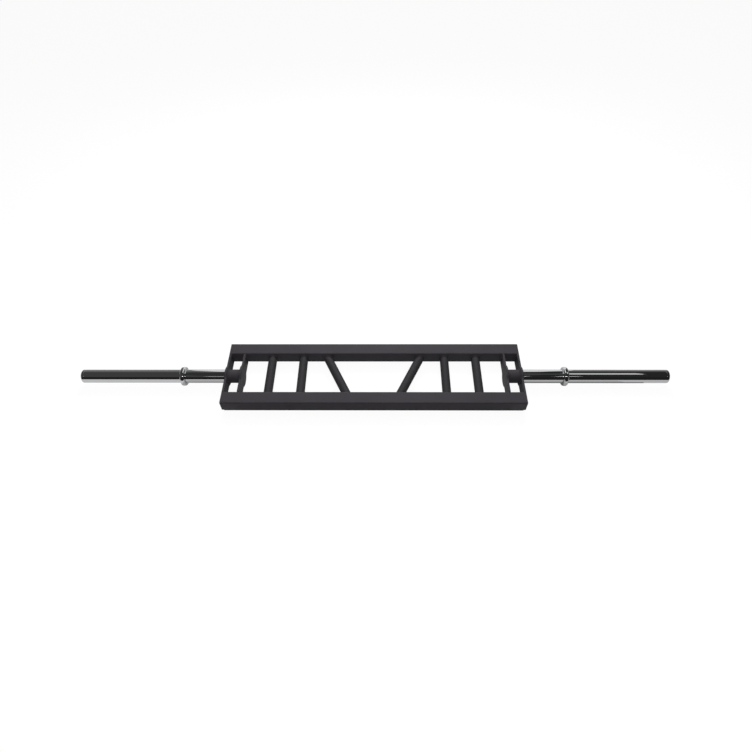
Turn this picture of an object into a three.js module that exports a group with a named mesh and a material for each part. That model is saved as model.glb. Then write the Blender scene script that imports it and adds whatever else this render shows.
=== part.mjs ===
// A Swiss bar: a flat welded frame of two square-tube rails with six round grips between them,
// and a chromed tube on each end that carries the weight plates.
// Lengths are in millimetres. +X runs along the bar, +Y points to its rear rail and +Z up.
// The origin is the middle of the bar, on the common axis of both sleeves.
import * as THREE from 'three';

// Driving dimensions of the whole bar; the frame's length follows from its grips and plates
const overallLength = 2150;
const frameWidth = 272;

// Rails, cut from square tube
const railSize = 50;
const railWall = 3;
const railCornerRadius = 5;

// Plates: an end plate closes both rails, an inner plate backs the sleeve between them
const endPlateThickness = 8;
const innerPlateThickness = 8;
const plateSpacing = 46;
const plateUpperCornerRadius = 5;
const plateLowerCornerRadius = 10;
const plateEdgeBreak = 1;
const endBossRadius = 36;
const innerBossRadius = 40;
const bossFilletRadius = 12;

// Sleeves, with the collar that stops the plates and the cap that closes the tip
const sleeveDiameter = 50;
const sleeveWall = 5;
const rackingLength = 148;
const collarDiameter = 70;
const collarWidth = 18;
const collarEdgeRadius = 6;
const capThickness = 12;
const capEdgeRadius = 5;
const capSpigotLength = 20;
const capLeadIn = 2;

// Grips; the angled pair is placed from the middle of the bar, and the spacings follow outwards,
// from one grip's axis to the next and from the last axis to the inner plate
const gripDiameter = 32;
const gripWall = 3;
const angledGripLean = THREE.MathUtils.degToRad(25);
const angledGripPlace = 134;
const innerGripSpacing = 130;
const outerGripSpacing = 117;
const innerPlateSpacing = 99;

// Weld beads, and how far a bead's face bulges from the corner, as a share of its leg
const weldLeg = 4;
const weldBulgeShare = 0.6;

// Gap between a tube and what surrounds it, and how far a facet may leave a true curve
const fitGap = 0.3;
const tubeChordError = 0.05;
const edgeChordError = 0.1;
const beadChordError = 0.3;

// Places across the bar that follow from the driving dimensions
const railHalfSize = railSize / 2;
const frameHalfWidth = frameWidth / 2;
const railAxisPlace = frameHalfWidth - railHalfSize;
const railInnerFace = frameHalfWidth - railSize;

// Places along the bar, from the middle outwards
const innerGripPlace = angledGripPlace + innerGripSpacing;
const outerGripPlace = innerGripPlace + outerGripSpacing;
const innerPlateInnerFace = outerGripPlace + innerPlateSpacing;
const innerPlateOuterFace = innerPlateInnerFace + innerPlateThickness;
const endPlateInnerFace = innerPlateOuterFace + plateSpacing;
const frameHalfLength = endPlateInnerFace + endPlateThickness;
const collarInnerFace = frameHalfLength + rackingLength;
const collarOuterFace = collarInnerFace + collarWidth;
const sleeveTip = overallLength / 2;
const capSeat = sleeveTip - capThickness;

// Radii
const gripRadius = gripDiameter / 2;
const sleeveRadius = sleeveDiameter / 2;
const sleeveBoreRadius = sleeveRadius - sleeveWall;

const quarterTurn = Math.PI / 2;
const halfTurn = Math.PI;
const fullTurn = 2 * Math.PI;

// Finishes
const powderCoat = () => new THREE.MeshStandardMaterial({ color: 0x242426, roughness: 0.55, metalness: 0 });
const chrome = () => new THREE.MeshStandardMaterial({ color: 0xe6e6ea, roughness: 0.07, metalness: 1 });

// Number of facets that keeps a full circle within the given error, the same in each quarter
function circleFacets(radius, error) {
  return 4 * Math.ceil(quarterTurn / 2 / Math.acos(1 - error / radius));
}

// Points along an arc, both ends included
function arcPoints(centreX, centreY, radius, from, to, error = edgeChordError) {
  const share = Math.abs(to - from) / fullTurn;
  const steps = Math.max(2, Math.ceil(circleFacets(radius, error) * share));
  const points = [];
  for (let step = 0; step <= steps; step += 1) {
    const angle = from + ((to - from) * step) / steps;
    points.push(new THREE.Vector2(centreX + radius * Math.cos(angle), centreY + radius * Math.sin(angle)));
  }
  return points;
}

// Turns a profile of (radius, height) points about the Y axis; the outer wall runs upwards
function revolve(profile, radius, error = tubeChordError) {
  return new THREE.LatheGeometry(profile, circleFacets(radius, error));
}

// Closes a ring's profile on itself before it is turned
function revolveRing(profile, radius, error = tubeChordError) {
  return revolve([...profile, profile[0].clone()], radius, error);
}

// A revolved piece is drawn about Y and lies along X in the bar
function layRevolvedAlongX(geometry) {
  const basis = new THREE.Matrix4().makeBasis(
    new THREE.Vector3(0, -1, 0),
    new THREE.Vector3(1, 0, 0),
    new THREE.Vector3(0, 0, 1),
  );
  return geometry.applyMatrix4(basis);
}

// An extruded section is drawn as (Y, Z) and extruded along X
function layExtrudedAlongX(geometry) {
  const basis = new THREE.Matrix4().makeBasis(
    new THREE.Vector3(0, 1, 0),
    new THREE.Vector3(0, 0, 1),
    new THREE.Vector3(1, 0, 0),
  );
  return geometry.applyMatrix4(basis);
}

function addMesh(parent, name, geometry, material, x = 0, y = 0) {
  const mesh = new THREE.Mesh(geometry, material);
  mesh.name = name;
  mesh.position.set(x, y, 0);
  parent.add(mesh);
}

// Outline of a square with rounded corners, counter-clockwise
function roundedSquare(halfSize, cornerRadius) {
  const inset = halfSize - cornerRadius;
  return [
    ...arcPoints(inset, inset, cornerRadius, 0, quarterTurn),
    ...arcPoints(-inset, inset, cornerRadius, quarterTurn, halfTurn),
    ...arcPoints(-inset, -inset, cornerRadius, halfTurn, halfTurn + quarterTurn),
    ...arcPoints(inset, -inset, cornerRadius, halfTurn + quarterTurn, fullTurn),
  ];
}

// Square tube between the end plates
function railGeometry() {
  const section = new THREE.Shape(roundedSquare(railHalfSize, railCornerRadius));
  section.holes.push(new THREE.Path(roundedSquare(railHalfSize - railWall, railCornerRadius - railWall)));
  const tube = new THREE.ExtrudeGeometry(section, { depth: 2 * endPlateInnerFace, bevelEnabled: false });
  tube.translate(0, 0, -endPlateInnerFace);
  return layExtrudedAlongX(tube);
}

// The boss swells out of a plate's upper edge: a fillet, the boss itself and the other fillet
function bossEdge(bossRadius) {
  const filletCentreZ = railHalfSize + bossFilletRadius;
  const reach = bossRadius + bossFilletRadius;
  const filletCentreY = Math.sqrt(reach * reach - filletCentreZ * filletCentreZ);
  const flank = Math.atan2(filletCentreZ, filletCentreY);
  return [
    ...arcPoints(filletCentreY, filletCentreZ, bossFilletRadius, -quarterTurn, flank - halfTurn),
    ...arcPoints(0, 0, bossRadius, flank, halfTurn - flank),
    ...arcPoints(-filletCentreY, filletCentreZ, bossFilletRadius, -flank, -quarterTurn),
  ];
}

// Corner of a plate at its +Y end, turned upwards; a radius of zero leaves it square
function plateCorner(halfWidth, cornerRadius) {
  if (cornerRadius === 0) return [new THREE.Vector2(halfWidth, railHalfSize)];
  return arcPoints(halfWidth - cornerRadius, railHalfSize - cornerRadius, cornerRadius, 0, quarterTurn);
}

// Outline of a bossed plate as tall as the rails
function plateOutline(halfWidth, bossRadius, upperCornerRadius, lowerCornerRadius) {
  const upperCorner = plateCorner(halfWidth, upperCornerRadius);
  const lowerCorner = plateCorner(halfWidth, lowerCornerRadius);
  const mirrored = (points, signY, signZ) => points
    .map((point) => new THREE.Vector2(signY * point.x, signZ * point.y));
  return [
    ...upperCorner,
    ...bossEdge(bossRadius),
    ...mirrored(upperCorner, -1, 1).reverse(),
    ...mirrored(lowerCorner, -1, -1),
    ...mirrored(bossEdge(bossRadius), -1, -1),
    ...mirrored(lowerCorner, 1, -1).reverse(),
  ];
}

// Flat plate with broken edges, from its outline and an optional round bore
function plateGeometry(outline, thickness, boreRadius = 0) {
  const shape = new THREE.Shape(outline);
  if (boreRadius > 0) {
    const bore = arcPoints(0, 0, boreRadius, 0, fullTurn, tubeChordError).slice(0, -1);
    shape.holes.push(new THREE.Path(bore));
  }
  const plate = new THREE.ExtrudeGeometry(shape, {
    depth: thickness - 2 * plateEdgeBreak,
    bevelEnabled: true,
    bevelSegments: 1,
    bevelThickness: plateEdgeBreak,
    bevelSize: plateEdgeBreak,
    bevelOffset: -plateEdgeBreak,
  });
  plate.translate(0, 0, plateEdgeBreak);
  return layExtrudedAlongX(plate);
}

// One tube from the inner plate, through the end plate, to the cap at the tip
function sleeveGeometry() {
  const profile = [
    new THREE.Vector2(sleeveBoreRadius, innerPlateOuterFace),
    new THREE.Vector2(sleeveRadius, innerPlateOuterFace),
    new THREE.Vector2(sleeveRadius, capSeat),
    new THREE.Vector2(sleeveBoreRadius, capSeat),
  ];
  return layRevolvedAlongX(revolveRing(profile, sleeveRadius));
}

// Ring that the weight plates are pushed against
function collarGeometry() {
  const rim = collarDiameter / 2 - collarEdgeRadius;
  const profile = [
    new THREE.Vector2(sleeveRadius + fitGap, collarInnerFace),
    ...arcPoints(rim, collarInnerFace + collarEdgeRadius, collarEdgeRadius, -quarterTurn, 0),
    ...arcPoints(rim, collarOuterFace - collarEdgeRadius, collarEdgeRadius, 0, quarterTurn),
    new THREE.Vector2(sleeveRadius + fitGap, collarOuterFace),
  ];
  return layRevolvedAlongX(revolveRing(profile, collarDiameter / 2));
}

// Plug whose spigot sits in the sleeve's bore and whose rounded head closes the tip
function capGeometry() {
  const spigotRadius = sleeveBoreRadius - fitGap;
  const spigotEnd = capSeat - capSpigotLength;
  const profile = [
    new THREE.Vector2(0, spigotEnd),
    new THREE.Vector2(spigotRadius - capLeadIn, spigotEnd),
    new THREE.Vector2(spigotRadius, spigotEnd + capLeadIn),
    new THREE.Vector2(spigotRadius, capSeat),
    new THREE.Vector2(sleeveRadius, capSeat),
    ...arcPoints(sleeveRadius - capEdgeRadius, sleeveTip - capEdgeRadius, capEdgeRadius, 0, quarterTurn),
    new THREE.Vector2(0, sleeveTip),
  ];
  return layRevolvedAlongX(revolve(profile, sleeveRadius));
}

// Profile of a bead in the corner between a wall at the given radius and a face at the given height;
// the bead rises from the face towards +1 or -1
function beadProfile(wallRadius, face, rise) {
  const bulge = weldLeg * weldBulgeShare;
  const points = [
    new THREE.Vector2(wallRadius, face),
    new THREE.Vector2(wallRadius + weldLeg, face),
    new THREE.Vector2(wallRadius + bulge, face + rise * bulge),
    new THREE.Vector2(wallRadius, face + rise * weldLeg),
  ];
  return rise > 0 ? points : points.reverse();
}

// Bead round the sleeve, on a plate's face
function sleeveBeadGeometry(face, rise) {
  const profile = beadProfile(sleeveRadius + fitGap, face, rise);
  return layRevolvedAlongX(revolveRing(profile, sleeveRadius, beadChordError));
}

// Leans an upright tube about its middle and keeps its ends level with the rails' faces,
// so that its section across the tube stays round
function lean(geometry, angle) {
  const shear = new THREE.Matrix4().set(
    1 / Math.cos(angle), Math.tan(angle), 0, 0,
    0, 1, 0, 0,
    0, 0, 1, 0,
    0, 0, 0, 1,
  );
  return geometry.applyMatrix4(shear);
}

// Grip tube between the rails' inner faces
function gripGeometry(angle) {
  const profile = [
    new THREE.Vector2(gripRadius - gripWall, -railInnerFace),
    new THREE.Vector2(gripRadius, -railInnerFace),
    new THREE.Vector2(gripRadius, railInnerFace),
    new THREE.Vector2(gripRadius - gripWall, railInnerFace),
  ];
  return lean(revolveRing(profile, gripRadius), angle);
}

// Bead round a grip, on the inner face of the front rail (end -1) or of the rear rail (end 1)
function gripBeadGeometry(angle, end) {
  const profile = beadProfile(gripRadius + fitGap, end * railInnerFace, -end);
  return lean(revolveRing(profile, gripRadius, beadChordError), angle);
}

// Upright bead in the corner of a plate and a rail; it spreads towards signX and signY
function seamBeadGeometry(signX, signY) {
  const height = railSize - 2 * railCornerRadius;
  const bulge = weldLeg * weldBulgeShare;
  const section = new THREE.Shape([
    new THREE.Vector2(0, 0),
    new THREE.Vector2(signX * weldLeg, 0),
    new THREE.Vector2(signX * bulge, signY * bulge),
    new THREE.Vector2(0, signY * weldLeg),
  ]);
  const bead = new THREE.ExtrudeGeometry(section, { depth: height, bevelEnabled: false });
  bead.translate(0, 0, -height / 2);
  return bead;
}

// Both rails
function addRails(bar) {
  addMesh(bar, 'rail_front', railGeometry(), powderCoat(), 0, -railAxisPlace);
  addMesh(bar, 'rail_rear', railGeometry(), powderCoat(), 0, railAxisPlace);
}

// A grip with the bead at each of its ends
function addGrip(bar, name, place, angle) {
  addMesh(bar, `grip_${name}`, gripGeometry(angle), powderCoat(), place);
  addMesh(bar, `weld_grip_${name}_front`, gripBeadGeometry(angle, -1), powderCoat(), place);
  addMesh(bar, `weld_grip_${name}_rear`, gripBeadGeometry(angle, 1), powderCoat(), place);
}

// Three grips on each side; the angled pair spreads towards the rear rail
function addGrips(bar) {
  for (const [side, sign] of [['left', -1], ['right', 1]]) {
    addGrip(bar, `outer_${side}`, sign * outerGripPlace, 0);
    addGrip(bar, `inner_${side}`, sign * innerGripPlace, 0);
    addGrip(bar, `angled_${side}`, sign * angledGripPlace, sign * angledGripLean);
  }
}

// Upright beads of one end, drawn for the +X end
function addSeamBeads(end, side, localEnds) {
  for (const [railName, sign] of localEnds) {
    const corner = sign * railInnerFace;
    const seams = [
      [`end_plate_${side}_${railName}`, endPlateInnerFace, -1],
      [`inner_plate_${side}_${railName}_outboard`, innerPlateOuterFace, 1],
      [`inner_plate_${side}_${railName}_inboard`, innerPlateInnerFace, -1],
    ];
    for (const [name, face, signX] of seams) {
      addMesh(end, `weld_${name}`, seamBeadGeometry(signX, -sign), powderCoat(), face, corner);
    }
  }
}

// Plates, sleeve, collar, cap and beads of one end, drawn for the +X end and turned for the other
function addEnd(bar, side) {
  const end = new THREE.Group();
  const turned = side === 'left';
  end.rotation.z = turned ? halfTurn : 0;
  bar.add(end);

  const endOutline = plateOutline(frameHalfWidth, endBossRadius, plateUpperCornerRadius, plateLowerCornerRadius);
  const endPlate = plateGeometry(endOutline, endPlateThickness, sleeveRadius + fitGap);
  addMesh(end, `end_plate_${side}`, endPlate, powderCoat(), endPlateInnerFace);

  const innerOutline = plateOutline(railInnerFace, innerBossRadius, 0, 0);
  const innerPlate = plateGeometry(innerOutline, innerPlateThickness);
  addMesh(end, `inner_plate_${side}`, innerPlate, powderCoat(), innerPlateInnerFace);

  addMesh(end, `sleeve_${side}`, sleeveGeometry(), chrome());
  addMesh(end, `collar_${side}`, collarGeometry(), chrome());
  addMesh(end, `sleeve_cap_${side}`, capGeometry(), chrome());

  addMesh(end, `weld_sleeve_${side}_outer`, sleeveBeadGeometry(frameHalfLength, 1), powderCoat());
  addMesh(end, `weld_sleeve_${side}_middle`, sleeveBeadGeometry(endPlateInnerFace, -1), powderCoat());
  addMesh(end, `weld_sleeve_${side}_inner`, sleeveBeadGeometry(innerPlateOuterFace, 1), powderCoat());

  const localEnds = turned ? [['rear', -1], ['front', 1]] : [['front', -1], ['rear', 1]];
  addSeamBeads(end, side, localEnds);
}

const bar = new THREE.Group();
addRails(bar);
addGrips(bar);
addEnd(bar, 'left');
addEnd(bar, 'right');

export default bar;
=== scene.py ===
"""The looks of a Swiss bar: a black powder-coated frame with six grips, and a chromed sleeve on each end.

Lengths are in metres. +X runs along the bar, +Y points to its rear rail and +Z up. Every piece is a finer
mesh that stands for one solid of the frame model: its place and size are read from that solid, and only what
a box doesn't give, such as the radii of edges and the walls of tubes, is written here. Two pieces have no
solid of their own: the coated ends of the sleeves, because each sleeve is one tube with two finishes.
"""

import math

import bmesh
import bpy
from mathutils import Matrix, Vector


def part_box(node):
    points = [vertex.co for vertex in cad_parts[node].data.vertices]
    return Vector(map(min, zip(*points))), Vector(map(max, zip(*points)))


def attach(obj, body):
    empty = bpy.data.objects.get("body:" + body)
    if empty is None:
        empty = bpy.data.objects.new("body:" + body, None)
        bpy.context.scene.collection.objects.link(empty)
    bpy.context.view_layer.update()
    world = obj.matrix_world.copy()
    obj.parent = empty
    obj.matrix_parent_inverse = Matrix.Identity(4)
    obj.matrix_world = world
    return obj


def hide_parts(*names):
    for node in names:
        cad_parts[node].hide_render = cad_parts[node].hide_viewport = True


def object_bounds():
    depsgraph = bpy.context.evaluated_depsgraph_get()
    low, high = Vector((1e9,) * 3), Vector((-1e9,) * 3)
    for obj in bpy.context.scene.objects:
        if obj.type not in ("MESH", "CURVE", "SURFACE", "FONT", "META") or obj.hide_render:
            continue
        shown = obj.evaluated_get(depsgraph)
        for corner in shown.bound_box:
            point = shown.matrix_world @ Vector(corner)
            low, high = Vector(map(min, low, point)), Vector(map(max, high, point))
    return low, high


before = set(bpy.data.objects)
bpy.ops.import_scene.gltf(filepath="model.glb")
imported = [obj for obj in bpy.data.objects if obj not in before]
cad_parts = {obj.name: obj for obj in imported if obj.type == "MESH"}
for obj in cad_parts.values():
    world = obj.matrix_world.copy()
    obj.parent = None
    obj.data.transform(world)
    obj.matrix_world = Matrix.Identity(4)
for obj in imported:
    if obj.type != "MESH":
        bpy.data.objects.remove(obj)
cad_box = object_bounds()

SIDES = {"left": -1, "right": 1}
QUARTER = math.pi / 2
HALF = math.pi
FULL = 2 * math.pi

# Edges and walls that the solids' boxes don't give
RAIL_CORNER_RADIUS = 0.005
RAIL_WALL = 0.003
PLATE_UPPER_CORNER_RADIUS = 0.005
PLATE_LOWER_CORNER_RADIUS = 0.010
PLATE_EDGE_RADIUS = 0.0012
BOSS_FILLET_RADIUS = 0.012
SLEEVE_WALL = 0.005
COLLAR_EDGE_RADIUS = 0.006
CAP_EDGE_RADIUS = 0.005
CAP_SEAM_RADIUS = 0.0006
CAP_LEAD_IN = 0.002
GRIP_WALL = 0.003
GRIP_LEAN = math.radians(25)

# The gap between a tube and what goes round it or into it
FIT_GAP = 0.0003

# Weld beads: the section's face is flat at a roundness of 1 and a quarter circle at 2. Each ripple is one
# laid drop. An upright bead starts at the end share of its size, and gains the taper share with each ripple
BEAD_ROUNDNESS = 1.36
BEAD_RIPPLE_PITCH = 0.0026
BEAD_RIPPLE_SHARE = 0.11
BEAD_END_SHARE = 0.45
BEAD_TAPER_SHARE = 0.5

# How finely curves are stepped, and how far apart the points along a straight tube are
TUBE_STEPS = 128
EDGE_STEPS = 8
PLATE_EDGE_STEPS = 4
CAP_SEAM_STEPS = 3
BOSS_STEPS = 48
FILLET_STEPS = 10
BEAD_SECTION_STEPS = 7
BEAD_STEPS_PER_RIPPLE = 5
TUBE_POINT_SPACING = 0.02

# Mesh cleaning: nearer points are joined, finer edges are taken out, and edges bent by more are shown sharp
MERGE_DISTANCE = 1e-7
DISSOLVE_DISTANCE = 1e-8
SHARP_ANGLE = math.radians(50)

# The least cosine of half a corner's bend that an outline's inset follows
LEAST_MITRE_SHARE = 0.5


# Outlines, drawn as (y, z)


def arc(centre, radius, start, end, steps):
    """Points of an arc, both ends included."""
    turns = [start + (end - start) * step / steps for step in range(steps + 1)]
    return [(centre[0] + radius * math.cos(t), centre[1] + radius * math.sin(t)) for t in turns]


def circle(radius):
    return arc((0, 0), radius, 0, FULL, TUBE_STEPS)[:-1]


def rounded_square(half, radius):
    inset = half - radius
    return [
        *arc((inset, inset), radius, 0, QUARTER, EDGE_STEPS),
        *arc((-inset, inset), radius, QUARTER, HALF, EDGE_STEPS),
        *arc((-inset, -inset), radius, HALF, HALF + QUARTER, EDGE_STEPS),
        *arc((inset, -inset), radius, HALF + QUARTER, FULL, EDGE_STEPS),
    ]


def moved(points, distance):
    """Moves an outline along Y."""
    return [(y + distance, z) for y, z in points]


def inset_outline(points, distance):
    """Moves a counter-clockwise outline inwards."""
    result = []
    for index, here in enumerate(points):
        before = Vector(here) - Vector(points[index - 1])
        after = Vector(points[(index + 1) % len(points)]) - Vector(here)
        normal_before = Vector((-before.y, before.x)).normalized()
        normal_after = Vector((-after.y, after.x)).normalized()
        mitre = (normal_before + normal_after).normalized()
        reach = distance / max(mitre.dot(normal_after), LEAST_MITRE_SHARE)
        result.append(tuple(Vector(here) + mitre * reach))
    return result


def boss_edge(half_height, boss_radius):
    """The boss on a plate's upper edge, between its two fillets."""
    fillet_z = half_height + BOSS_FILLET_RADIUS
    reach = boss_radius + BOSS_FILLET_RADIUS
    fillet_y = math.sqrt(reach**2 - fillet_z**2)
    flank = math.atan2(fillet_z, fillet_y)
    return [
        *arc((fillet_y, fillet_z), BOSS_FILLET_RADIUS, -QUARTER, flank - HALF, FILLET_STEPS),
        *arc((0, 0), boss_radius, flank, HALF - flank, BOSS_STEPS)[1:-1],
        *arc((-fillet_y, fillet_z), BOSS_FILLET_RADIUS, -flank, -QUARTER, FILLET_STEPS),
    ]


def plate_corner(half_width, half_height, radius):
    if radius == 0:
        return [(half_width, half_height)]
    return arc((half_width - radius, half_height - radius), radius, 0, QUARTER, EDGE_STEPS)


def plate_half(half_width, half_height, boss_radius, corner_radius):
    """The upper half of a plate's outline: a corner, the boss and the other corner."""
    corner = plate_corner(half_width, half_height, corner_radius)
    other_corner = [(-y, z) for y, z in reversed(corner)]
    return [*corner, *boss_edge(half_height, boss_radius), *other_corner]


def plate_outline(half_width, half_height, boss_radius, upper_radius, lower_radius):
    upper = plate_half(half_width, half_height, boss_radius, upper_radius)
    lower = plate_half(half_width, half_height, boss_radius, lower_radius)
    return [*upper, *[(-y, -z) for y, z in lower]]


# Meshes


def across(points, x):
    """Points drawn as (y, z), placed at x."""
    return [Vector((x, y, z)) for y, z in points]


def join_rows(mesh, here, there, columns):
    """Puts faces between two rows of mesh points."""
    for column in range(columns):
        after = (column + 1) % len(here)
        mesh.faces.new((here[column], here[after], there[after], there[column]))


def loft(rings, loop=False, around=True):
    """Skins rings of points. loop joins the last ring to the first, around closes each ring on itself."""
    mesh = bmesh.new()
    rows = [[mesh.verts.new(point) for point in ring] for ring in rings]
    row_pairs = len(rows) if loop else len(rows) - 1
    columns = len(rows[0]) if around else len(rows[0]) - 1
    for row in range(row_pairs):
        join_rows(mesh, rows[row], rows[(row + 1) % len(rows)], columns)
    return mesh


def add_band(mesh, ring, x, next_ring, next_x):
    """Adds the stretch of a bore between two rings."""
    here = [mesh.verts.new(point) for point in across(ring, x)]
    there = [mesh.verts.new(point) for point in across(next_ring, next_x)]
    join_rows(mesh, here, there, len(here))


def close_faces(mesh):
    """Fills what a plate's edges leave open: a flat face at each end, with its bore if it has one."""
    rims = [edge for edge in mesh.edges if edge.is_boundary]
    middle = sum((edge.verts[0].co.x for edge in rims)) / len(rims)
    for low_end in (True, False):
        rim = [edge for edge in rims if (edge.verts[0].co.x < middle) == low_end]
        bmesh.ops.triangle_fill(mesh, use_beauty=True, edges=rim)


def edge_profile(low_x, high_x, radius):
    """(x, inset) of each ring over a plate's thickness, with both its edges rounded."""
    turns = [QUARTER * step / PLATE_EDGE_STEPS for step in range(PLATE_EDGE_STEPS + 1)]
    low = [(low_x + radius * (1 - math.sin(t)), radius * (1 - math.cos(t))) for t in reversed(turns)]
    high = [(high_x - radius * (1 - math.sin(t)), radius * (1 - math.cos(t))) for t in turns]
    return low + high


def plate(outline, low_x, high_x, bore_radius):
    """A plate from its outline, with rounded edges, and a round bore unless its radius is 0."""
    profile = edge_profile(low_x, high_x, PLATE_EDGE_RADIUS)
    mesh = loft([across(inset_outline(outline, inset), x) for x, inset in profile])
    if bore_radius:
        for (x, inset), (next_x, next_inset) in zip(profile, profile[1:]):
            add_band(mesh, circle(bore_radius + inset), x, circle(bore_radius + next_inset), next_x)
    bmesh.ops.remove_doubles(mesh, verts=mesh.verts, dist=MERGE_DISTANCE)
    close_faces(mesh)
    return mesh


def turned_to(profile, turn):
    """A profile of (x, radius), turned about the X axis."""
    return [Vector((x, r * math.cos(turn), r * math.sin(turn))) for x, r in profile]


def turned(profile, closed=True):
    """Turns a profile all the way round."""
    rings = [turned_to(profile, FULL * step / TUBE_STEPS) for step in range(TUBE_STEPS)]
    return loft(rings, loop=True, around=closed)


def tube_points(start, end, radius):
    """Profile points along a tube's wall, close enough together for smooth reflections."""
    steps = max(1, round(abs(end - start) / TUBE_POINT_SPACING))
    return [(start + (end - start) * step / steps, radius) for step in range(steps + 1)]


def stand_up(mesh, lean, centre_x):
    """Lays a piece that was turned about X along Y, and slants it with its ends flat on the rails' faces."""
    stand = Matrix(((0, 1 / math.cos(lean), 0), (1, 0, 0), (0, 0, -1))).to_4x4()
    slant = Matrix(((1, math.tan(lean), 0), (0, 1, 0), (0, 0, 1))).to_4x4()
    bmesh.ops.transform(mesh, matrix=stand, verts=mesh.verts)
    bmesh.ops.transform(mesh, matrix=Matrix.Translation((centre_x, 0, 0)) @ slant, verts=mesh.verts)


def piece(node, mesh, material, name=None, stands=True):
    """Makes an object of a mesh, in the place of the solid it stands for."""
    bmesh.ops.remove_doubles(mesh, verts=mesh.verts, dist=MERGE_DISTANCE)
    bmesh.ops.dissolve_degenerate(mesh, edges=mesh.edges, dist=DISSOLVE_DISTANCE)
    bmesh.ops.recalc_face_normals(mesh, faces=mesh.faces)
    data = bpy.data.meshes.new(name or f"{node}_fine")
    mesh.to_mesh(data)
    mesh.free()
    for polygon in data.polygons:
        polygon.use_smooth = True
    data.set_sharp_from_angle(angle=SHARP_ANGLE)
    made = bpy.data.objects.new(data.name, data)
    bpy.context.scene.collection.objects.link(made)
    made.data.materials.append(material)
    weighted = made.modifiers.new("even_shading", "WEIGHTED_NORMAL")
    weighted.keep_sharp = True
    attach(made, "root")
    if stands:
        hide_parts(node)


# Materials

# A noise stays near a half, and this is the range of it that is spread over a value's own range
NOISE_LOW_SHARE = 0.3
NOISE_HIGH_SHARE = 0.7
NOISE_ROUGHNESS = 0.5

# Where a Mix node for colours has its sockets
MIX_FACTOR_INPUT = 0
MIX_DARK_INPUT = 6
MIX_LIGHT_INPUT = 7
MIX_COLOUR_OUTPUT = 2

WHITE = (1, 1, 1, 1)


def new_material(name):
    material = bpy.data.materials.new(name)
    material.use_nodes = True
    tree = material.node_tree
    shader = tree.nodes["Principled BSDF"]
    place = tree.nodes.new("ShaderNodeTexCoord").outputs["Object"]
    return material, tree, shader, place


def noise(tree, place, scale, detail):
    node = tree.nodes.new("ShaderNodeTexNoise")
    node.inputs["Scale"].default_value = scale
    node.inputs["Detail"].default_value = detail
    node.inputs["Roughness"].default_value = NOISE_ROUGHNESS
    tree.links.new(place, node.inputs["Vector"])
    return node.outputs["Fac"]


def spread(tree, value, low, high):
    """Spreads a noise over low to high."""
    node = tree.nodes.new("ShaderNodeMapRange")
    node.inputs["From Min"].default_value = NOISE_LOW_SHARE
    node.inputs["From Max"].default_value = NOISE_HIGH_SHARE
    node.inputs["To Min"].default_value = low
    node.inputs["To Max"].default_value = high
    tree.links.new(value, node.inputs["Value"])
    return node.outputs["Result"]


def bump(tree, height, depth, under=None):
    """Raises a noise by its depth, on top of the bump under it if there is one."""
    node = tree.nodes.new("ShaderNodeBump")
    node.inputs["Distance"].default_value = depth
    tree.links.new(height, node.inputs["Height"])
    if under is not None:
        tree.links.new(under, node.inputs["Normal"])
    return node.outputs["Normal"]


def mix_colours(tree, share, dark, light):
    node = tree.nodes.new("ShaderNodeMix")
    node.data_type = "RGBA"
    node.inputs[MIX_DARK_INPUT].default_value = (*dark, 1)
    node.inputs[MIX_LIGHT_INPUT].default_value = (*light, 1)
    tree.links.new(share, node.inputs[MIX_FACTOR_INPUT])
    return node.outputs[MIX_COLOUR_OUTPUT]


# Black powder coat: a fine orange peel with finer grit in it, and a tone that drifts and is specked a little.
# Each noise has a scale and a detail
COAT_DARK = (0.044, 0.0404, 0.0463)
COAT_LIGHT = (0.056, 0.0515, 0.059)
# The grips get the same coat, about three tenths darker
GRIP_COAT_DARK = (0.0312, 0.0293, 0.0318)
GRIP_COAT_LIGHT = (0.0395, 0.0372, 0.0404)
COAT_DRIFT_NOISE = (9.0, 3.0)
COAT_DRIFT_SHARES = (0.25, 0.75)
COAT_SPECK_NOISE = (1400.0, 1.0)
COAT_SPECK_SHARES = (-0.25, 0.25)
COAT_GLOSS_NOISE = (36.0, 2.0)
COAT_ROUGHNESS = (0.5, 0.6)
COAT_SPECULAR = 0.13
COAT_PEEL_NOISE = (520.0, 1.0)
COAT_PEEL_DEPTH = 0.00005
COAT_GRIT_NOISE = (2600.0, 2.0)
COAT_GRIT_DEPTH = 0.000012


def powder_coat(name, dark, light):
    material, tree, shader, place = new_material(name)
    drift = spread(tree, noise(tree, place, *COAT_DRIFT_NOISE), *COAT_DRIFT_SHARES)
    speck = spread(tree, noise(tree, place, *COAT_SPECK_NOISE), *COAT_SPECK_SHARES)
    tone = tree.nodes.new("ShaderNodeMath")
    tree.links.new(drift, tone.inputs[0])
    tree.links.new(speck, tone.inputs[1])
    tone.use_clamp = True
    tree.links.new(mix_colours(tree, tone.outputs[0], dark, light), shader.inputs["Base Color"])
    gloss = spread(tree, noise(tree, place, *COAT_GLOSS_NOISE), *COAT_ROUGHNESS)
    tree.links.new(gloss, shader.inputs["Roughness"])
    shader.inputs["Specular IOR Level"].default_value = COAT_SPECULAR
    peel = bump(tree, noise(tree, place, *COAT_PEEL_NOISE), COAT_PEEL_DEPTH)
    grit = bump(tree, noise(tree, place, *COAT_GRIT_NOISE), COAT_GRIT_DEPTH, peel)
    tree.links.new(grit, shader.inputs["Normal"])
    return material


# Chrome plate: mirror-like, with a hint of polishing haze and of the tube's own waviness
CHROME_COLOUR = (0.47, 0.472, 0.48)
CHROME_HAZE_NOISE = (60.0, 4.0)
CHROME_ROUGHNESS = (0.02, 0.045)
CHROME_WAVE_NOISE = (9.0, 1.0)
CHROME_WAVE_DEPTH = 0.00002


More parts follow.
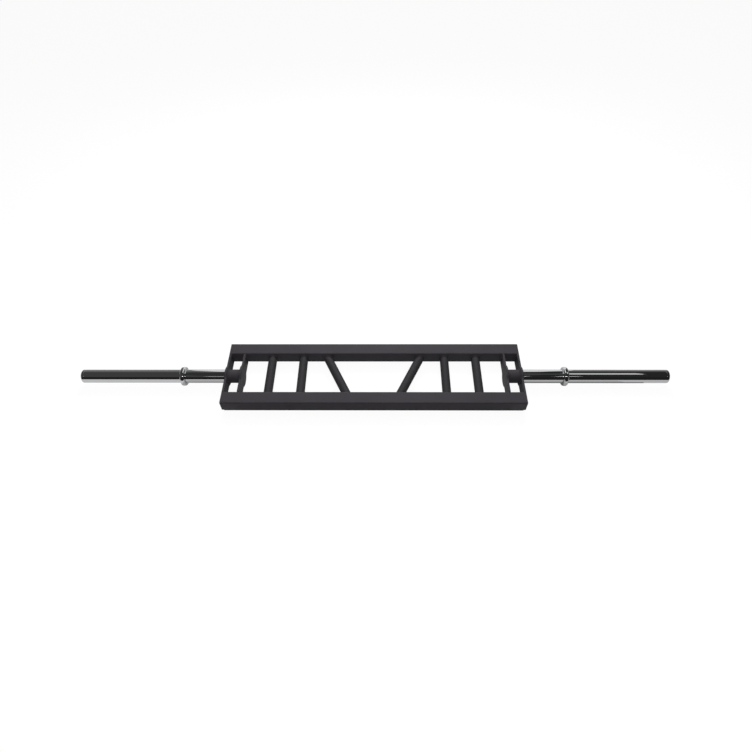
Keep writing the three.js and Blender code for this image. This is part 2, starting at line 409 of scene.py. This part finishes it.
def chrome_plate():
    material, tree, shader, place = new_material("chrome_plate")
    shader.inputs["Base Color"].default_value = (*CHROME_COLOUR, 1)
    shader.inputs["Metallic"].default_value = 1.0
    haze = spread(tree, noise(tree, place, *CHROME_HAZE_NOISE), *CHROME_ROUGHNESS)
    tree.links.new(haze, shader.inputs["Roughness"])
    wave = bump(tree, noise(tree, place, *CHROME_WAVE_NOISE), CHROME_WAVE_DEPTH)
    tree.links.new(wave, shader.inputs["Normal"])
    return material


coat = powder_coat("powder_coat", COAT_DARK, COAT_LIGHT)
grip_coat = powder_coat("grip_powder_coat", GRIP_COAT_DARK, GRIP_COAT_LIGHT)
chrome = chrome_plate()


# Frame


def rail(node):
    low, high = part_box(node)
    half = (high.z - low.z) / 2
    centre_y = (high.y + low.y) / 2
    outer = moved(rounded_square(half, RAIL_CORNER_RADIUS), centre_y)
    inner = moved(rounded_square(half - RAIL_WALL, RAIL_CORNER_RADIUS - RAIL_WALL), centre_y)
    rings = [across(outer, low.x), across(outer, high.x), across(inner, high.x), across(inner, low.x)]
    piece(node, loft(rings, loop=True), coat)


def bossed_plate(node, upper_radius, lower_radius, bore_radius):
    """A plate as high as the rails, apart from its boss, which gives the solid's height."""
    low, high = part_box(node)
    half_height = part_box("rail_front")[1].z
    outline = plate_outline(high.y, half_height, high.z, upper_radius, lower_radius)
    piece(node, plate(outline, low.x, high.x, bore_radius), coat)


# Sleeves


def sleeve(side):
    """One tube: coated up to the middle of the end plate's bore, chromed from there to its cap."""
    node = f"sleeve_{side}"
    low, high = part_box(node)
    plate_low, plate_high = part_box(f"end_plate_{side}")
    change = (plate_low.x + plate_high.x) / 2
    inner_end, outer_end = sorted((low.x, high.x), key=abs)
    radius = high.z
    bore = radius - SLEEVE_WALL
    coated = [*tube_points(inner_end, change, radius), *tube_points(change, inner_end, bore)]
    chromed = [*tube_points(change, outer_end, radius), *tube_points(outer_end, change, bore)]
    piece(node, turned(chromed), chrome)
    piece(node, turned(coated), coat, name=f"{node}_coated_end", stands=False)


def collar(side):
    node = f"collar_{side}"
    low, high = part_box(node)
    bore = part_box(f"sleeve_{side}")[1].z + FIT_GAP
    rim = high.z - COLLAR_EDGE_RADIUS
    profile = [
        (low.x, bore),
        *arc((low.x + COLLAR_EDGE_RADIUS, rim), COLLAR_EDGE_RADIUS, HALF, QUARTER, EDGE_STEPS),
        *arc((high.x - COLLAR_EDGE_RADIUS, rim), COLLAR_EDGE_RADIUS, QUARTER, 0, EDGE_STEPS),
        (high.x, bore),
    ]
    piece(node, turned(profile), chrome)


def sleeve_cap(side, sign):
    """A cap with its spigot. A small rounding where it meets the tube makes the seam line."""
    node = f"sleeve_cap_{side}"
    low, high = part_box(node)
    spigot_end, tip = sorted((abs(low.x), abs(high.x)))
    seat = max(abs(end.x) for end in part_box(f"sleeve_{side}"))
    radius = high.z
    spigot = radius - SLEEVE_WALL - FIT_GAP
    seam_centre = (seat + CAP_SEAM_RADIUS, radius - CAP_SEAM_RADIUS)
    edge_centre = (tip - CAP_EDGE_RADIUS, radius - CAP_EDGE_RADIUS)
    profile = [
        (spigot_end, 0),
        (spigot_end, spigot - CAP_LEAD_IN),
        (spigot_end + CAP_LEAD_IN, spigot),
        (seat, spigot),
        (seat, radius - CAP_SEAM_RADIUS),
        *arc(seam_centre, CAP_SEAM_RADIUS, HALF, QUARTER, CAP_SEAM_STEPS),
        *arc(edge_centre, CAP_EDGE_RADIUS, QUARTER, 0, EDGE_STEPS),
        (tip, 0),
    ]
    mesh = turned([(sign * x, r) for x, r in profile], closed=False)
    piece(node, mesh, chrome)


# Weld beads


def bead_section(leg):
    """Points of a bead's section, from the wall to the face, with the corner itself first."""
    points = [(0.0, 0.0)]
    for step in range(BEAD_SECTION_STEPS + 1):
        turn = QUARTER * step / BEAD_SECTION_STEPS
        along = leg * math.cos(turn) ** (2 / BEAD_ROUNDNESS)
        up = leg * math.sin(turn) ** (2 / BEAD_ROUNDNESS)
        points.append((along, up))
    return points


def ripple(place):
    """How much of its size a bead has at a place along it: each drop is a low hump between two creases."""
    phase = (place / BEAD_RIPPLE_PITCH) % 1.0
    return 1.0 - BEAD_RIPPLE_SHARE * (1.0 - math.sin(phase * HALF))


def ring_bead(node, wall_radius, face, rise):
    """A bead round a tube along X, on the wall at face. rise is 1 or -1, the way it reaches from there."""
    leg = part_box(node)[1].z - wall_radius
    ripples = round(FULL * wall_radius / BEAD_RIPPLE_PITCH)
    steps = ripples * BEAD_STEPS_PER_RIPPLE
    rings = []
    for step in range(steps):
        swell = ripple(step / BEAD_STEPS_PER_RIPPLE * BEAD_RIPPLE_PITCH)
        section = [(face + rise * up, wall_radius + out) for out, up in bead_section(leg * swell)]
        rings.append(turned_to(section, FULL * step / steps))
    return loft(rings, loop=True)


def seam_bead(node, plate_node):
    """An upright bead in the corner of a plate and a rail; it tapers at both ends."""
    low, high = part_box(node)
    leg = high.x - low.x
    length = high.z - low.z
    middle_x = (low.x + high.x) / 2
    plate_face = min((end.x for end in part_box(plate_node)), key=lambda face: abs(face - middle_x))
    towards_x = 1 if middle_x > plate_face else -1
    towards_y = -1 if low.y > 0 else 1
    corner_x = low.x if towards_x > 0 else high.x
    corner_y = high.y if towards_y < 0 else low.y
    ripples = round(length / BEAD_RIPPLE_PITCH)
    steps = ripples * BEAD_STEPS_PER_RIPPLE
    rings = []
    for step in range(steps + 1):
        share = step / steps
        z = low.z + share * length
        taper = min(1.0, BEAD_END_SHARE + min(share, 1 - share) * ripples * BEAD_TAPER_SHARE)
        swell = ripple(share * ripples * BEAD_RIPPLE_PITCH) * taper
        ring = []
        for out, up in bead_section(leg * swell):
            ring.append(Vector((corner_x + towards_x * out, corner_y + towards_y * up, z)))
        rings.append(ring)
    mesh = loft(rings)
    for low_end in (True, False):
        rim = [edge for edge in mesh.edges if edge.is_boundary and (edge.verts[0].co.z < 0) == low_end]
        bmesh.ops.contextual_create(mesh, geom=rim)
    piece(node, mesh, coat)


# Every piece


def build_grip(name, side, sign, lean):
    """A grip between the rails, and the bead at each of its ends."""
    node = f"grip_{name}_{side}"
    low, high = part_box(node)
    lean = sign * lean
    centre_x = (low.x + high.x) / 2
    radius = high.z
    mesh = turned([*tube_points(low.y, high.y, radius), *tube_points(high.y, low.y, radius - GRIP_WALL)])
    stand_up(mesh, lean, centre_x)
    piece(node, mesh, grip_coat)
    for end, face, rise in (("front", low.y, 1), ("rear", high.y, -1)):
        bead = f"weld_{node}_{end}"
        mesh = ring_bead(bead, radius + FIT_GAP, face, rise)
        stand_up(mesh, lean, centre_x)
        piece(bead, mesh, coat)


def build_end(side, sign):
    """The two plates at one end, the sleeve with its collar and cap, and the beads that join them."""
    tube_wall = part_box(f"sleeve_{side}")[1].z + FIT_GAP
    bossed_plate(f"end_plate_{side}", PLATE_UPPER_CORNER_RADIUS, PLATE_LOWER_CORNER_RADIUS, tube_wall)
    bossed_plate(f"inner_plate_{side}", 0, 0, 0)
    sleeve(side)
    collar(side)
    sleeve_cap(side, sign)
    end_faces = sorted((end.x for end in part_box(f"end_plate_{side}")), key=abs)
    inner_faces = sorted((end.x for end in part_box(f"inner_plate_{side}")), key=abs)
    for place, face, rise in (
        ("outer", end_faces[1], sign),
        ("middle", end_faces[0], -sign),
        ("inner", inner_faces[1], sign),
    ):
        bead = f"weld_sleeve_{side}_{place}"
        piece(bead, ring_bead(bead, tube_wall, face, rise), coat)
    for row in ("front", "rear"):
        seam_bead(f"weld_end_plate_{side}_{row}", f"end_plate_{side}")
        seam_bead(f"weld_inner_plate_{side}_{row}_outboard", f"inner_plate_{side}")
        seam_bead(f"weld_inner_plate_{side}_{row}_inboard", f"inner_plate_{side}")


rail("rail_front")
rail("rail_rear")
for side, sign in SIDES.items():
    build_grip("outer", side, sign, 0.0)
    build_grip("inner", side, sign, 0.0)
    build_grip("angled", side, sign, GRIP_LEAN)
    build_end(side, sign)


# Studio: a white floor, soft lamps, and cards that only glossy rays see

FLOOR_HALF_SIZE = 14.0
FLOOR_GLOW = 0.93
FLOOR_SHOWN_TONE = 0.13
FLOOR_LIT_TONE = 0.26

# How strongly the world lights the bar, and how bright it is where it is seen: as bright as the floor far
# from the lamps, so that no line shows where the floor ends
WORLD_FILL = 0.15
WORLD_SHOWN = 0.95


def is_seen(tree):
    """1 for the rays that see the background: the camera's, and those that metal or glass sends on."""
    path = tree.nodes.new("ShaderNodeLightPath")
    total = path.outputs["Is Camera Ray"]
    for kind in ("Is Glossy Ray", "Is Transmission Ray"):
        add = tree.nodes.new("ShaderNodeMath")
        add.operation = "MAXIMUM"
        tree.links.new(total, add.inputs[0])
        tree.links.new(path.outputs[kind], add.inputs[1])
        total = add.outputs[0]
    return total


def make_world():
    world = bpy.data.worlds.new("studio")
    world.use_nodes = True
    tree = world.node_tree
    background = tree.nodes["Background"]
    background.inputs["Color"].default_value = WHITE
    strength = tree.nodes.new("ShaderNodeMapRange")
    strength.inputs["To Min"].default_value = WORLD_FILL
    strength.inputs["To Max"].default_value = WORLD_SHOWN
    tree.links.new(is_seen(tree), strength.inputs["Value"])
    tree.links.new(strength.outputs["Result"], background.inputs["Strength"])
    bpy.context.scene.world = world


def bare_material(name):
    """A material with nothing but its output."""
    material = bpy.data.materials.new(name)
    material.use_nodes = True
    tree = material.node_tree
    tree.nodes.clear()
    output = tree.nodes.new("ShaderNodeOutputMaterial")
    return material, tree, output


def rectangle(name, centre, to_side, to_top, material):
    """A flat object with one face, from its middle to the middle of its side and of its top."""
    corners = [
        centre - to_side - to_top,
        centre + to_side - to_top,
        centre + to_side + to_top,
        centre - to_side + to_top,
    ]
    data = bpy.data.meshes.new(name)
    data.from_pydata(corners, [], [(0, 1, 2, 3)])
    data.materials.append(material)
    made = bpy.data.objects.new(name, data)
    bpy.context.scene.collection.objects.link(made)
    return made


def diffuse(tree, tone):
    shader = tree.nodes.new("ShaderNodeBsdfDiffuse")
    shader.inputs["Color"].default_value = (tone, tone, tone, 1)
    return shader


def make_floor():
    """A floor that is white where it is seen, and darker where it sends light on to the bar."""
    material, tree, output = bare_material("floor")
    lit = diffuse(tree, FLOOR_LIT_TONE)
    shown = diffuse(tree, FLOOR_SHOWN_TONE)
    glow = tree.nodes.new("ShaderNodeEmission")
    glow.inputs["Strength"].default_value = FLOOR_GLOW
    both = tree.nodes.new("ShaderNodeAddShader")
    pick = tree.nodes.new("ShaderNodeMixShader")
    tree.links.new(shown.outputs[0], both.inputs[0])
    tree.links.new(glow.outputs[0], both.inputs[1])
    tree.links.new(is_seen(tree), pick.inputs[0])
    tree.links.new(lit.outputs[0], pick.inputs[1])
    tree.links.new(both.outputs[0], pick.inputs[2])
    tree.links.new(pick.outputs[0], output.inputs["Surface"])
    to_side = Vector((FLOOR_HALF_SIZE, 0, 0))
    to_top = Vector((0, FLOOR_HALF_SIZE, 0))
    floor = rectangle("floor", Vector((0, 0, 0)), to_side, to_top, material)
    floor.location.z = cad_box[0].z


def card(name, centre, across_axis, up_axis, size, tone):
    """A flat card that only glossy rays see, for the bands in the chrome and the dark in the coat's gloss."""
    material, tree, output = bare_material(name)
    glow = tree.nodes.new("ShaderNodeEmission")
    glow.inputs["Color"].default_value = (tone, tone, tone, 1)
    tree.links.new(glow.outputs[0], output.inputs["Surface"])
    to_side = Vector(across_axis) * size[0] / 2
    to_top = Vector(up_axis) * size[1] / 2
    made = rectangle(name, Vector(centre), to_side, to_top, material)
    made.visible_camera = False
    made.visible_diffuse = False
    made.visible_shadow = False
    made.visible_volume_scatter = False


X_AXIS = (1, 0, 0)
Y_AXIS = (0, 1, 0)
Z_AXIS = (0, 0, 1)

# The room, as half its length and depth and the height of its ceiling
ROOM_HALF_X = 7.0
ROOM_HALF_Y = 5.0
ROOM_HEIGHT = 3.8

# Heights of the lit boxes, of the strips under them, and of each layer of cards above the floor
LAMP_HEIGHT = 3.6
STRIP_HEIGHT = 3.5
SHADE_LIFT = 0.001
SHADE_CORE_LIFT = 0.002
FRAME_SHADE_LIFT = 0.003

# Above the bar: name, X from and to, Y from and to, height, tone
CEILING_CARDS = (
    ("ceiling_left", -ROOM_HALF_X, -2.1, -ROOM_HALF_Y, 3.0, ROOM_HEIGHT, 0.088),
    ("ceiling_left_corner", -2.4, -2.1, 3.0, 3.4, ROOM_HEIGHT, 0.088),
    ("ceiling_middle", -2.1, 1.7, -ROOM_HALF_Y, 3.4, ROOM_HEIGHT, 0.055),
    ("ceiling_right", 1.7, ROOM_HALF_X, -ROOM_HALF_Y, 3.9, ROOM_HEIGHT, 0.035),
    ("ceiling_right_step", 2.16, 2.32, 3.9, 4.3, ROOM_HEIGHT, 0.035),
    ("ceiling_right_corner", 2.32, 2.44, 3.9, 4.7, ROOM_HEIGHT, 0.035),
    ("ceiling_rear_left", -ROOM_HALF_X, -2.4, 3.0, ROOM_HALF_Y, ROOM_HEIGHT, 0.23),
    ("ceiling_rear_right", 2.44, ROOM_HALF_X, 3.9, ROOM_HALF_Y, ROOM_HEIGHT, 0.17),
    ("overhead_box", -1.5, 1.4, 0.4, 3.2, LAMP_HEIGHT, 1.6),
    ("front_strip_left", -2.15, -0.9, -3.42, -3.07, LAMP_HEIGHT, 1.3),
    ("front_strip_right", 1.0, 1.76, -3.05, -2.65, LAMP_HEIGHT, 1.5),
    ("front_strip_end", 2.1, 2.37, -3.05, -2.65, LAMP_HEIGHT, 1.6),
    ("front_box", -0.9, 1.0, -3.45, -2.65, LAMP_HEIGHT, 7.5),
    ("strip", 1.86, 2.61, -0.37, 1.13, STRIP_HEIGHT, 0.95),
    ("strip_end", 1.4, 1.86, -0.24, 0.45, STRIP_HEIGHT, 0.15),
)

# What the sleeves and the plates see below them: painted shade of the bar on the floor, as dark sheets that
# only glossy rays see, and dark ground farther out. Name, X from and to, Y from and to, height above the
# floor, tone
FLOOR_CARDS = (
    ("ground_left", -ROOM_HALF_X, 0.5, -ROOM_HALF_Y, -0.76, SHADE_LIFT, 0.024),
    ("ground_right", 0.5, ROOM_HALF_X, -ROOM_HALF_Y, -0.26, SHADE_LIFT, 0.024),
    ("shade_frame", -0.5, 0.5, -0.35, 0.35, SHADE_LIFT, 0.6),
    ("shade_left", -0.72, -0.5, -0.14, 0.14, SHADE_LIFT, 0.65),
    ("shade_right", 0.5, 0.93, -0.14, 0.14, SHADE_LIFT, 0.65),
    ("shade_right_tip", 0.93, 1.2, -0.14, 0.14, SHADE_LIFT, 0.85),
    ("shade_core_left", -0.72, -0.5, -0.03, 0.03, SHADE_CORE_LIFT, 0.4),
    ("shade_core_right", 0.5, 1.0, -0.04, 0.04, SHADE_CORE_LIFT, 0.2),
    ("shade_window_left", -0.534, -0.488, -0.086, 0.086, FRAME_SHADE_LIFT, 0.3),
    ("shade_window_right", 0.488, 0.534, -0.086, 0.086, FRAME_SHADE_LIFT, 0.3),
    ("shade_rear_rail", -0.542, 0.542, 0.086, 0.136, FRAME_SHADE_LIFT, 0.2),
)

# Front and rear walls: name, Y, X from and to, tone
WALL_CARDS = (
    ("front_wall", -ROOM_HALF_Y, -ROOM_HALF_X, ROOM_HALF_X, 0.024),
    ("rear_wall_left", ROOM_HALF_Y, -ROOM_HALF_X, -2.4, 0.23),
    ("rear_wall_right", ROOM_HALF_Y, 2.44, ROOM_HALF_X, 0.17),
    ("white_wall", ROOM_HALF_Y, -2.4, 2.44, 1.3),
)
SIDE_WALL_TONE = 0.12


def level_card(name, low_x, high_x, low_y, high_y, z, tone):
    centre = ((low_x + high_x) / 2, (low_y + high_y) / 2, z)
    card(name, centre, X_AXIS, Y_AXIS, (high_x - low_x, high_y - low_y), tone)


def make_cards():
    floor_z = cad_box[0].z
    wall_z = (floor_z + ROOM_HEIGHT) / 2
    wall_height = ROOM_HEIGHT - floor_z
    for row in CEILING_CARDS:
        level_card(*row)
    for name, low_x, high_x, low_y, high_y, lift, tone in FLOOR_CARDS:
        level_card(name, low_x, high_x, low_y, high_y, floor_z + lift, tone)
    for name, y, low_x, high_x, tone in WALL_CARDS:
        centre = ((low_x + high_x) / 2, y, wall_z)
        card(name, centre, X_AXIS, Z_AXIS, (high_x - low_x, wall_height), tone)
    for side, sign in SIDES.items():
        centre = (sign * ROOM_HALF_X, 0, wall_z)
        card(f"{side}_wall", centre, Y_AXIS, Z_AXIS, (2 * ROOM_HALF_Y, wall_height), SIDE_WALL_TONE)


# Lamps, all turned to the middle of the bar: name, place, size, power
BAR_MIDDLE = Vector((0, 0, 0))
LAMPS = (
    ("overhead", (0.2, 1.0, 3.0), (2.0, 1.4), 13.0),
    ("rear", (0.0, 1.3, 1.3), (1.6, 0.8), 27.5),
    ("front", (0.0, -3.05, 3.6), (2.6, 0.7), 60.0),
)


def lamp(name, place, size, power):
    light = bpy.data.lights.new(name, "AREA")
    light.shape = "RECTANGLE"
    light.size, light.size_y = size
    light.energy = power
    made = bpy.data.objects.new(name, light)
    made.location = place
    made.rotation_euler = (BAR_MIDDLE - Vector(place)).to_track_quat("-Z", "Y").to_euler()
    made.visible_camera = False
    made.visible_glossy = False
    bpy.context.scene.collection.objects.link(made)


# Camera: a pinhole fitted to the photograph, looking at the bar from the front and above

PICTURE_SIDE_PX = 752
FOCAL_PX = 552.84
SENSOR_WIDTH_MM = 36.0
CAMERA_PLACE = (0.03261, -1.21636, 1.63425)
CAMERA_DOWN = math.radians(53.307)
CAMERA_YAW = math.radians(-1.127)
CAMERA_ROLL = math.radians(-0.879)
CAMERA_REACH = 100.0


def make_camera():
    forward = Vector((
        math.sin(CAMERA_YAW) * math.cos(CAMERA_DOWN),
        math.cos(CAMERA_YAW) * math.cos(CAMERA_DOWN),
        -math.sin(CAMERA_DOWN),
    ))
    level = Vector((math.cos(CAMERA_YAW), -math.sin(CAMERA_YAW), 0))
    upright = level.cross(forward)
    right = math.cos(CAMERA_ROLL) * level + math.sin(CAMERA_ROLL) * upright
    up = math.cos(CAMERA_ROLL) * upright - math.sin(CAMERA_ROLL) * level
    camera = bpy.data.cameras.new("camera")
    camera.sensor_fit = "HORIZONTAL"
    camera.sensor_width = SENSOR_WIDTH_MM
    camera.lens = FOCAL_PX / PICTURE_SIDE_PX * SENSOR_WIDTH_MM
    camera.clip_end = CAMERA_REACH
    made = bpy.data.objects.new("camera", camera)
    turn = Matrix((right, up, -forward)).transposed().to_4x4()
    made.matrix_world = Matrix.Translation(CAMERA_PLACE) @ turn
    bpy.context.scene.collection.objects.link(made)
    bpy.context.scene.camera = made


make_world()
make_floor()
make_cards()
for row in LAMPS:
    lamp(*row)
make_camera()
bpy.context.scene.view_settings.view_transform = "Standard"
